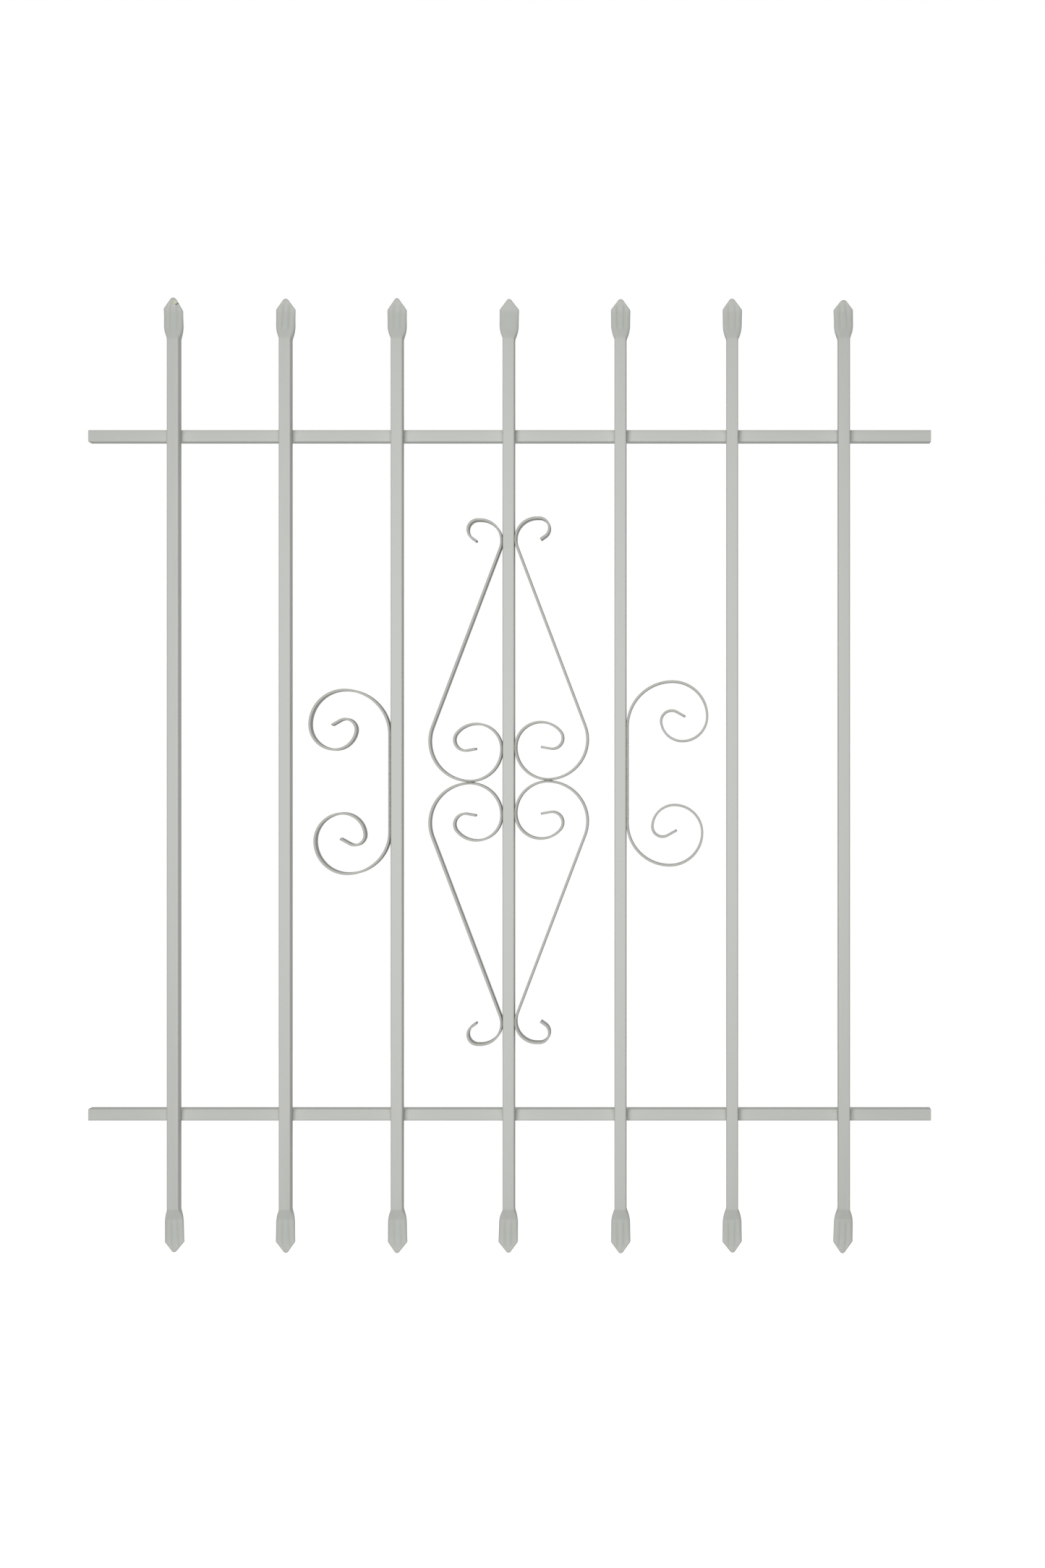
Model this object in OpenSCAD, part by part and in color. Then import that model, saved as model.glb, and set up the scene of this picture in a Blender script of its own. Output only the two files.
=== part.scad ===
// Fixed window security bar panel.
// Seven upright square-tube bars with pressed spear points are lap-welded onto the front of two
// square-tube rails. Four S-scrolls on the middle bar and two C-scrolls beside it are bent from
// flat strip and tack-welded from behind.
// The frame: X to the right, Y into the wall, Z up. The origin is the middle of the panel's box,
// where the middle bar's back face meets the plane of the rails' front faces.

/* [Panel] */
// Length of each horizontal rail
rail_len = 914.4; // [880:0.1:1200]
// Distance between the two rails' centrelines
rail_spacing = 736.6; // [640:0.1:880]
// Length of each upright bar from point to point
bar_len = 1032.5; // [980:0.1:1300]
// Distance between neighbouring bars' centrelines
bar_pitch = 120.65; // [108:0.05:138]

/* [Tube] */
// Outside width of the square tube of the bars and rails
tube_w = 12.7; // [11:0.1:16]
// Wall thickness of the tube
tube_wall = 1.2; // [0.8:0.1:1.8]
// Outside corner radius of the tube
tube_r = 1.3; // [1:0.05:1.8]

/* [Spear point] */
// Length of the pressed end of a bar
head_len = 45.8; // [42:0.1:60]
// Width across the shoulders
head_w = 21; // [20.5:0.1:26]
// Width at the top of the flare, above the tube
head_flare_w = 20.4; // [17:0.1:20.4]
// Height of the flare from the tube up to the straight sides
head_flare_h = 15; // [10:0.1:18]
// Length over which the tube is pressed down to its root thickness
head_press_h = 12; // [8:0.5:16]
// Thickness of the pressed end at its root, where it begins to taper
head_root_t = 6.2; // [4.4:0.1:8]
// Thickness of the pressed end at the point
head_t = 3.6; // [2.8:0.1:4.4]
// Distance from the point down to the shoulders
tip_h = 12.9; // [11.5:0.1:16]
// Radius of the blunt point
tip_r = 3.6; // [1.5:0.1:4]
// Depth of the two shallow flutes in each face
flute_depth = 0.3; // [0.1:0.05:0.5]

/* [Strip] */
// Thickness of the scrolls' flat strip
strip_t = 2.4; // [2:0.1:3]
// Depth of the scrolls' flat strip
strip_d = 12.7; // [8:0.1:12.7]

/* [S-scrolls] */
// Outside radii of the inner volute's turns, from the pair weld inwards
s_turn_r = [35.7, 28.4, 12.7]; // [10:0.1:38]
// Angles of those turns
s_turn_a = [90, 141, 139]; // [90:1:145]
// Length of the volute's straight tail
s_tail = 10; // [4:0.5:14]
// Outside radius of the big outer turn
s_outer_r = 44.2; // [40:0.1:46]
// Height of the hook's centre above the pair weld
s_hook_v = 260.3; // [230:0.1:270]
// Outside radius of the hook where it touches the bar
s_hook_r = 24; // [20:0.1:27]
// Length of the flat at the top of the hook
s_hook_flat = 2.8; // [1:0.1:4]
// Outside radius of the hook's far side
s_hook_far_r = 12; // [10:0.1:15]
// Angle that the hook's far side turns
s_hook_far_a = 145; // [110:1:150]
// Length of the hook's straight end
s_hook_tail = 6; // [3:0.5:9]
// Height of the left pair's weld from the panel's middle
s_left_z = -7.3; // [-15:0.1:15]
// Height of the right pair's weld from the panel's middle
s_right_z = -5.3; // [-15:0.1:15]

/* [C-scrolls] */
// Length of the straight that lies against the bar
c_straight = 104.2; // [90:0.1:130]
// Outside radii of the upper volute's turns, from the bar inwards
c_upper_r = [49.8, 38.7, 28, 24.4, 12.8]; // [10:0.1:51]
// Angles of the upper volute's turns
c_upper_a = [90, 90, 90, 81, 129]; // [75:1:130]
// Length of the upper volute's straight tail
c_upper_tail = 10; // [4:0.5:12]
// Outside radii of the lower volute's turns, from the bar inwards
c_lower_r = [46.8, 36.3, 31.2, 25.1, 12.2]; // [10:0.1:51]
// Angles of the lower volute's turns
c_lower_a = [90, 90, 90, 87, 122]; // [75:1:130]
// Length of the lower volute's straight tail
c_lower_tail = 11.5; // [4:0.5:13]
// Height of the left straight's lower end from the panel's middle
c_left_z = -60.6; // [-80:0.1:-40]
// Height of the right straight's lower end from the panel's middle
c_right_z = -51.5; // [-80:0.1:-40]

/* [Welds] */
// Leg of the fillet welds between a bar and a rail
fillet_leg = 3; // [2:0.1:4]
// Length of each fillet weld
fillet_len = 9; // [6:0.5:10]
// Height of a tack weld above the back face
tack_h = 1.2; // [0.8:0.1:1.6]
// Half the width of a tack weld
tack_half_w = 2.6; // [2.5:0.1:3]
// Length of a tack weld
tack_len = 9; // [8:0.5:12]

/* [Colour] */
// Paint on the whole panel
paint = [0.76, 0.765, 0.745]; // [0:0.01:1]

/* [Hidden] */
$fn = 48;

half_w = tube_w / 2;
rail_z = rail_spacing / 2;
head_base = bar_len / 2 - head_len;
arc_step = 5;
clear = 1;
middle_bar = 4;
// Width of the tube's square bore
bore_w = tube_w - 2 * tube_wall;
// Angle of the pressed end's tapered faces
face_tilt = atan((head_root_t - head_t) / 2 / (head_len - head_press_h));
// Sideways place and radius of the flutes, and the height above the press where they start
flute_x = 3.5;
flute_r = 6;
flute_lift = 3;
// Radius of the rounded shoulders
shoulder_r = 2;
// Places of the three tack welds along a C-scroll's straight, as parts of its length
c_tacks = [0.12, 0.5, 0.88];

// ---- strip paths: a state is [along, up, heading], and a step is [radius, angle] for a turn to
// the left (positive) or right, or [0, length] for a straight
function turned(s, r, a) = [
    s[0] + sign(a) * r * (sin(s[2] + a) - sin(s[2])),
    s[1] - sign(a) * r * (cos(s[2] + a) - cos(s[2])),
    s[2] + a
];
function moved(s, l) = [s[0] + l * cos(s[2]), s[1] + l * sin(s[2]), s[2]];
function stepped(s, step, part) =
    step[0] == 0 ? moved(s, step[1] * part) : turned(s, step[0], step[1] * part);
function pieces(step) = step[0] == 0 ? 1 : ceil(abs(step[1]) / arc_step);
function traced(s, steps, i = 0) =
    i == len(steps) ? [s] : concat(
        [for (k = [0 : pieces(steps[i]) - 1]) stepped(s, steps[i], k / pieces(steps[i]))],
        traced(stepped(s, steps[i], 1), steps, i + 1)
    );
function backwards(states) = [
    for (i = [len(states) - 1 : -1 : 0]) [states[i][0], states[i][1], states[i][2] + 180]
];
function side_of(states, d) = [
    for (s = states) [s[0] - d * sin(s[2]), s[1] + d * cos(s[2])]
];
// Turns whose outside radii and angles are given, to the left (+1) or right (-1)
function turns(radii, angles, way) = [
    for (i = [0 : len(radii) - 1]) [radii[i] - strip_t / 2, way * angles[i]]
];

// ---- the S-scroll: u is the distance out from the bar's side, v the height above the pair weld
s_start = [s_turn_r[0], strip_t / 2];
s_big_c = [s_turn_r[0], s_outer_r];
s_hook_c = [s_hook_r, s_hook_v];
s_radii = s_outer_r + s_hook_r - strip_t;
s_centres = norm(s_hook_c - s_big_c);
s_lean = atan2(s_big_c[0] - s_hook_c[0], s_hook_c[1] - s_big_c[1]) + asin(s_radii / s_centres);
s_diagonal = sqrt(s_centres * s_centres - s_radii * s_radii);
s_inward = traced(
    [s_start[0], s_start[1], 180],
    concat(turns(s_turn_r, s_turn_a, -1), [[0, s_tail]])
);
s_outward = traced(
    [s_start[0], s_start[1], 0],
    [
        [s_outer_r - strip_t / 2, 90 + s_lean],
        [0, s_diagonal],
        [s_hook_r - strip_t / 2, -90 - s_lean],
        [0, s_hook_flat],
        [s_hook_far_r - strip_t / 2, -s_hook_far_a],
        [0, s_hook_tail]
    ]
);
s_path = concat(backwards(s_inward), [for (i = [1 : len(s_outward) - 1]) s_outward[i]]);

// ---- the C-scroll: u is the distance out from the bar's side, v the height above the straight
c_up = traced(
    [strip_t / 2, 0, 90],
    concat([[0, c_straight]], turns(c_upper_r, c_upper_a, -1), [[0, c_upper_tail]])
);
c_down = traced(
    [strip_t / 2, 0, -90],
    concat(turns(c_lower_r, c_lower_a, 1), [[0, c_lower_tail]])
);
c_path = concat(backwards(c_down), [for (i = [1 : len(c_up) - 1]) c_up[i]]);

function bar_x(number) = (number - middle_bar) * bar_pitch;
function arc_points(centre, r, from, to) = [
    for (k = [0 : 6]) let (a = from + (to - from) * k / 6)
        [centre[0] + r * cos(a), centre[1] + r * sin(a)]
];

// ---- tube
module tube_outline() {
    flat_w = tube_w - 2 * tube_r;
    square([tube_w, flat_w], center = true);
    square([flat_w, tube_w], center = true);
    for (x = [-1, 1], y = [-1, 1])
        translate([x * flat_w / 2, y * flat_w / 2])
            circle(r = tube_r);
}

// A square tube along Z with an open bore, centred on its axis
module tube(length, bore_len) {
    difference() {
        linear_extrude(height = length, center = true)
            tube_outline();
        cube([bore_w, bore_w, bore_len], center = true);
    }
}

// ---- spear point
// Front outline, from the tube (v = 0) to the point
module head_outline() {
    half_flare = head_flare_w / 2;
    flare_in = half_flare - half_w;
    flare_r = (flare_in * flare_in + head_flare_h * head_flare_h) / (2 * flare_in);
    flare_a = asin(head_flare_h / flare_r);
    shoulder_v = head_len - tip_h;
    tip_c = [0, head_len - tip_r];
    shoulder = [head_w / 2, shoulder_v];
    // Direction of the slanted edge, which runs from the shoulder and just meets the blunt point
    to_tip = tip_c - shoulder;
    slant = atan2(to_tip[1], to_tip[0]) - asin(tip_r / norm(to_tip));
    // The shoulder's corner is rounded between the side and the slanted edge
    shoulder_c = [
        head_w / 2 - shoulder_r,
        shoulder_v - shoulder_r * tan((slant - 90) / 2)
    ];
    right_side = concat(
        arc_points([half_flare - flare_r, head_flare_h], flare_r, -flare_a, 0),
        arc_points(shoulder_c, shoulder_r, 0, slant - 90),
        arc_points(tip_c, tip_r, slant - 90, 90)
    );
    left_side = [for (i = [len(right_side) - 2 : -1 : 0]) [-right_side[i][0], right_side[i][1]]];
    polygon(concat(right_side, left_side));
}

// Side outline: the tube's depth pressed down to the root, then tapered towards the point
module head_profile() {
    polygon([
        [-half_w, 0],
        [half_w, 0],
        [head_root_t / 2, head_press_h],
        [head_t / 2, head_len],
        [-head_t / 2, head_len],
        [-head_root_t / 2, head_press_h]
    ]);
}

// The flutes run along the tapered faces
module flutes() {
    for (x = [-1, 1], y = [-1, 1])
        translate([x * flute_x, y * head_root_t / 2, head_press_h])
            rotate([y * face_tilt, 0, 0])
                translate([0, y * (flute_r - flute_depth), flute_lift]) {
                    cylinder(r = flute_r, h = head_len);
                    sphere(r = flute_r);
                }
}

module spear_point() {
    difference() {
        intersection() {
            rotate([90, 0, 0])
                linear_extrude(height = tube_w + clear, center = true)
                    head_outline();
            rotate([90, 0, 90])
                linear_extrude(height = head_w + clear, center = true)
                    head_profile();
        }
        flutes();
    }
}

// One upright: a tube whose two ends are pressed into spear points
module bar(number) {
    color(paint)
        translate([bar_x(number), -half_w, 0]) {
            tube(2 * head_base, 2 * head_base + clear);
            for (end = [0, 180])
                rotate([0, end, 0])
                    translate([0, 0, head_base])
                        spear_point();
        }
}

// One rail behind the bars, open at both ends
module rail(z) {
    color(paint)
        translate([0, half_w, z])
            rotate([0, 90, 0])
                tube(rail_len, rail_len + clear);
}

// ---- scrolls
// A strip on edge along a path, with its front edge flush with the bars' front faces
module strip(states) {
    translate([0, -tube_w + strip_d, 0])
        rotate([90, 0, 0])
            linear_extrude(height = strip_d)
                polygon(concat(
                    side_of(states, strip_t / 2),
                    [for (i = [len(states) - 1 : -1 : 0]) side_of(states, -strip_t / 2)[i]]
                ));
}

// Puts what stands at the right side of a bar there, or mirrored at its left side (side = -1)
module at_bar(number, side, z) {
    translate([bar_x(number) + side * half_w, 0, z])
        mirror([side < 0 ? 1 : 0, 0, 0])
            children();
}

module s_scroll(side, up, z) {
    color(paint)
        at_bar(middle_bar, side, z)
            mirror([0, 0, up < 0 ? 1 : 0])
                strip(s_path);
}

module c_scroll(number, side, z) {
    color(paint)
        at_bar(number, side, z)
            strip(c_path);
}

// ---- welds
// A quarter-round fillet in the corner between a bar's back face and a rail, above or below it
module fillet(up) {
    intersection() {
        rotate([0, 90, 0])
            cylinder(r = fillet_leg, h = fillet_len, center = true);
        translate([-fillet_len, 0, up > 0 ? 0 : -fillet_leg])
            cube([2 * fillet_len, fillet_leg, fillet_leg]);
    }
}

module rail_welds(z) {
    color(paint)
        for (number = [1 : 7], up = [-1, 1])
            translate([bar_x(number), 0, z + up * half_w])
                fillet(up);
}

// A low domed tack on the back faces, along Z
module tack() {
    tack_r = (tack_half_w * tack_half_w + tack_h * tack_h) / (2 * tack_h);
    body_len = tack_len - 2 * tack_half_w;
    intersection() {
        translate([0, tack_h - tack_r, 0]) {
            cylinder(r = tack_r, h = body_len, center = true);
            for (end = [-1, 1])
                translate([0, 0, end * body_len / 2])
                    sphere(r = tack_r);
        }
        translate([-tack_len, 0, -tack_len])
            cube([2 * tack_len, tack_len, 2 * tack_len]);
    }
}

module s_scroll_tacks(up) {
    color(paint)
        for (side = [[-1, s_left_z], [1, s_right_z]], v = [s_turn_r[0], s_hook_v])
            at_bar(middle_bar, side[0], side[1] + up * v)
                tack();
}

module pair_tacks() {
    color(paint)
        for (side = [[-1, s_left_z], [1, s_right_z]])
            at_bar(middle_bar, side[0], side[1])
                translate([s_turn_r[0], 0, 0])
                    rotate([0, 90, 0])
                        tack();
}

module c_scroll_tacks(number, side, z) {
    color(paint)
        for (part = c_tacks)
            at_bar(number, side, z + part * c_straight)
                tack();
}

bar(1);  // bar_1
bar(2);  // bar_2
bar(3);  // bar_3
bar(4);  // bar_4
bar(5);  // bar_5
bar(6);  // bar_6
bar(7);  // bar_7
rail(rail_z);  // top_rail
rail(-rail_z);  // bottom_rail
s_scroll(-1, 1, s_left_z);  // upper_left_scroll
s_scroll(1, 1, s_right_z);  // upper_right_scroll
s_scroll(-1, -1, s_left_z);  // lower_left_scroll
s_scroll(1, -1, s_right_z);  // lower_right_scroll
c_scroll(3, -1, c_left_z);  // left_c_scroll
c_scroll(5, 1, c_right_z);  // right_c_scroll
rail_welds(rail_z);  // top_rail_welds
rail_welds(-rail_z);  // bottom_rail_welds
s_scroll_tacks(1);  // upper_scroll_welds
s_scroll_tacks(-1);  // lower_scroll_welds
pair_tacks();  // scroll_pair_welds
c_scroll_tacks(3, -1, c_left_z);  // left_c_scroll_welds
c_scroll_tacks(5, 1, c_right_z);  // right_c_scroll_welds
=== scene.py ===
"""Looks for the window security bar: fine meshes and satin paint for its bars, rails, scrolls and welds."""

import math

import bmesh
import bpy
import numpy as np
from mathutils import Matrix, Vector, noise


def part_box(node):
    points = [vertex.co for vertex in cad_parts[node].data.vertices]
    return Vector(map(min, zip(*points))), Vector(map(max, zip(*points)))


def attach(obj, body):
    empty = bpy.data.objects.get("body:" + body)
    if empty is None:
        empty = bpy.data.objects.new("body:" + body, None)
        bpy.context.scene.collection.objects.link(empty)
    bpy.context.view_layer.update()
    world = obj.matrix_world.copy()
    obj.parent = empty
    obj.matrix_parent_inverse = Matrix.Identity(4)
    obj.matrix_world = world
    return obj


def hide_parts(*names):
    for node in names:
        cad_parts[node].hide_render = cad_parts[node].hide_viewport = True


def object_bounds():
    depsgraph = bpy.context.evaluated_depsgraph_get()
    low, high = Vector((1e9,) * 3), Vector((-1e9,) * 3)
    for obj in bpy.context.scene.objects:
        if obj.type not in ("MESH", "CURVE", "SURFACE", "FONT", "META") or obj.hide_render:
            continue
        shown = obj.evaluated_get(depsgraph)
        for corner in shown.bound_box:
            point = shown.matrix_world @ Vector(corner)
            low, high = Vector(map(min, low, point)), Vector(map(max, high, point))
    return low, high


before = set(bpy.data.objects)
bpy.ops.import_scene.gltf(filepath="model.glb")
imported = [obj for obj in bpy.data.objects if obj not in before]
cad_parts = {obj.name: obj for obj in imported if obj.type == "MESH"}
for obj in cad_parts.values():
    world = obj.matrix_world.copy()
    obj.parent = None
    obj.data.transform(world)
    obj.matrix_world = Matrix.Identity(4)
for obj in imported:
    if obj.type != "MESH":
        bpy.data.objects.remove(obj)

CAD_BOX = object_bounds()
MM = 0.001

# ---- sizes that come from the frame; BAR_X and BARS run from left to right
RAIL_LO, RAIL_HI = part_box("top_rail")
TUBE_W = RAIL_HI.z - RAIL_LO.z
HALF_W = TUBE_W / 2
BARS = [f"bar_{number}" for number in range(1, 8)]
MIDDLE = len(BARS) // 2
BAR_X = [(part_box(name)[0].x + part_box(name)[1].x) / 2 for name in BARS]
BAR_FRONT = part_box("bar_1")[0].y
BAR_MID_Y = BAR_FRONT + HALF_W
HALF_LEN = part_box("bar_1")[1].z
RAIL_Z = {name: (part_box(name)[0].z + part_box(name)[1].z) / 2 for name in ("top_rail", "bottom_rail")}

# ---- sizes that repeat the CAD source's own
TUBE_R = 1.3 * MM
TUBE_WALL = 1.2 * MM
HEAD_LEN = 45.8 * MM
HEAD_HALF_W = 10.5 * MM
FLARE_HALF_W = 10.2 * MM
FLARE_H = 15 * MM
HEAD_T = 3.6 * MM
TIP_H = 12.9 * MM
TIP_R = 3.6 * MM
SHOULDER_R = 2 * MM
HEAD_BASE = HALF_LEN - HEAD_LEN
SHOULDER_V = HEAD_LEN - TIP_H

STRIP_T = 2.4 * MM
STRIP_D = 12.7 * MM
S_TURNS = [(35.7 * MM, 90), (28.4 * MM, 141), (12.7 * MM, 139)]
S_TAIL = 10 * MM
S_OUTER_R = 44.2 * MM
S_HOOK_V = 260.3 * MM
S_HOOK_R = 24 * MM
S_HOOK_FLAT = 2.8 * MM
S_HOOK_FAR_R = 12 * MM
S_HOOK_FAR_A = 145
S_HOOK_TAIL = 6 * MM
S_PAIR_Z = {-1: -7.3 * MM, 1: -5.3 * MM}

C_STRAIGHT = 104.2 * MM
C_UPPER = [(49.8 * MM, 90), (38.7 * MM, 90), (28 * MM, 90), (24.4 * MM, 81), (12.8 * MM, 129)]
C_UPPER_TAIL = 10 * MM
C_LOWER = [(46.8 * MM, 90), (36.3 * MM, 90), (31.2 * MM, 90), (25.1 * MM, 87), (12.2 * MM, 122)]
C_LOWER_TAIL = 11.5 * MM
C_LOW_Z = {-1: -60.6 * MM, 1: -51.5 * MM}
C_TACKS = [0.12, 0.5, 0.88]

FILLET_LEG = 3 * MM
FILLET_LEN = 9 * MM
TACK_H = 1.2 * MM
TACK_HALF_W = 2.6 * MM
TACK_LEN = 9 * MM

# How each end was pressed and cut by hand, in mm, where it differs from the pattern, all as seen from
# the front. flare starts the flare nearer the point, shift moves the shoulders sideways, left and right
# raise that shoulder towards the point, tip moves the point sideways and low makes the end shorter.
# left_r, right_r and point_r are the radii of the shoulders and the point, step is how much of its
# depth the tube loses right at the neck and flutes is how deep the flutes came out.
PRESSED = {
    1: {"flare": 1.4, "left": -0.5, "right": -0.5, "step": 1.4},
    -1: {"flare": -1.4, "left": 0.5, "right": 0.5, "step": 5.6, "point_r": 3.1},
}
CUTS = {
    ("bar_1", 1): {"shift": -0.6, "left": 0.7, "right": -1.8, "tip": -0.8, "left_r": 0.8, "right_r": 3.5},
    ("bar_1", -1): {"shift": 0.6, "tip": 0.3, "left": 0.6, "low": 1.1},
    ("bar_2", 1): {"shift": 0.2, "right": -0.2, "tip": 0.2, "low": 1.3, "flutes": 0.6},
    ("bar_2", -1): {"shift": -0.2, "left": 0.1, "tip": 0.3, "low": 0.4, "flutes": 0.5},
    ("bar_3", 1): {"shift": -0.2, "left": -0.8, "tip": -0.3, "low": 0.7, "point_r": 2.8},
    ("bar_3", -1): {"shift": 0.3, "right": 0.9, "tip": -0.2, "low": 0.2},
    ("bar_4", 1): {
        "shift": 0.5, "tip": 0.3, "low": 1.6, "left_r": 1.2, "right_r": 1.2, "point_r": 3, "flutes": 0.1,
    },
    ("bar_4", -1): {"shift": -0.8, "tip": -0.4, "low": 0.6, "flutes": 0.5},
    ("bar_5", 1): {"shift": 0.1, "right": -0.9, "tip": 0.2, "low": 1.8, "flutes": 0.6},
    ("bar_5", -1): {"shift": 0.2, "left": 0.8, "tip": 0.2, "flutes": 0.5},
    ("bar_6", 1): {"shift": 0.2, "left": -0.2, "tip": -0.2, "low": 1.3},
    ("bar_6", -1): {"shift": -0.1, "right": 0, "tip": 0.4, "low": 0.7},
    ("bar_7", 1): {"shift": -0.6, "tip": -0.3, "low": 2.7, "point_r": 4.2, "left_r": 3},
    ("bar_7", -1): {"shift": -1.0, "tip": -1.5, "right": -0.1},
}


# ---- mesh helpers
def add_mesh(name, verts, faces, sharp=40):
    """A closed smooth mesh object with its normals outwards and edges over sharp degrees kept crisp."""
    mesh = bpy.data.meshes.new(name)
    mesh.from_pydata(verts, [], faces)
    work = bmesh.new()
    work.from_mesh(mesh)
    bmesh.ops.recalc_face_normals(work, faces=work.faces)
    work.to_mesh(mesh)
    work.free()
    mesh.shade_smooth()
    mesh.set_sharp_from_angle(angle=math.radians(sharp))
    made = bpy.data.objects.new(name, mesh)
    bpy.context.scene.collection.objects.link(made)
    return made


def loft(rings, start=0, ring_shaped=False):
    """Vertices and faces through rings of equal length; ring_shaped joins the last ring to the first."""
    count, around = len(rings), len(rings[0])
    verts = [tuple(float(value) for value in point) for ring in rings for point in ring]
    faces = []
    for i in range(count if ring_shaped else count - 1):
        this, after = start + i * around, start + (i + 1) % count * around
        for j in range(around):
            k = (j + 1) % around
            faces.append((this + j, this + k, after + k, after + j))
    if not ring_shaped:
        faces.append(tuple(start + j for j in range(around)))
        last = start + (count - 1) * around
        faces.append(tuple(last + j for j in range(around - 1, -1, -1)))
    return verts, faces


def smooth_step(value):
    value = np.clip(value, 0, 1)
    return value * value * (3 - 2 * value)


def keep_value(obj, name, values):
    """Stores one number per vertex for the materials to read."""
    attribute = obj.data.attributes.new(name, "FLOAT", "POINT")
    attribute.data.foreach_set("value", np.asarray(values, np.float32))


def keep_color(obj, name, colors):
    """Stores one colour per vertex for the materials to read."""
    attribute = obj.data.attributes.new(name, "FLOAT_COLOR", "POINT")
    rgba = np.column_stack([colors, np.ones(len(colors))])
    attribute.data.foreach_set("color", rgba.astype(np.float32).ravel())


def points_of(obj):
    """The vertices' places as rows of x, y and z."""
    flat = np.empty(len(obj.data.vertices) * 3, np.float32)
    obj.data.vertices.foreach_get("co", flat)
    return flat.reshape(-1, 3)


def near(distance, reach):
    """1 at nothing, falling smoothly to 0 at reach."""
    return 1 - smooth_step(np.abs(distance) / reach)


# ---- paint
GREY = (0.563, 0.579, 0.541)
# The colour that corners, contacts and flutes are darkened towards, and how strongly: painted shade, with
# some dust.
DUST_AND_SHADE_COLOR = (0.2, 0.19, 0.16)
DUST_DULLS = 0.25
SHADE_AND_DUST = 0.25
BRUSHED = 0.07
CLOUD_SCALE = 170
CLOUD_RANGE = (0.3, 0.7)
COLOR_STREAK = 0.018
GLOSS_STREAK = 0.025
SPECK_SCALE = 900
SPECK_RANGE = (0.35, 0.65)
SPECK_LEAST = 0.4
PEEL_SCALE = 160
SPECULAR = 0.33


def add_node(tree, kind, place, **values):
    """A node with its inputs or its settings given by name."""
    made = tree.nodes.new(kind)
    made.location = place
    for name, value in values.items():
        if name in made.inputs:
            made.inputs[name].default_value = value
        else:
            setattr(made, name, value)
    return made


def add_range(tree, place, taken, given):
    """A node that maps the range taken onto the range given, each as (low, high)."""
    made = add_node(tree, "ShaderNodeMapRange", place)
    for name, value in zip(("From Min", "From Max", "To Min", "To Max"), (*taken, *given)):
        made.inputs[name].default_value = value
    return made


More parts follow.
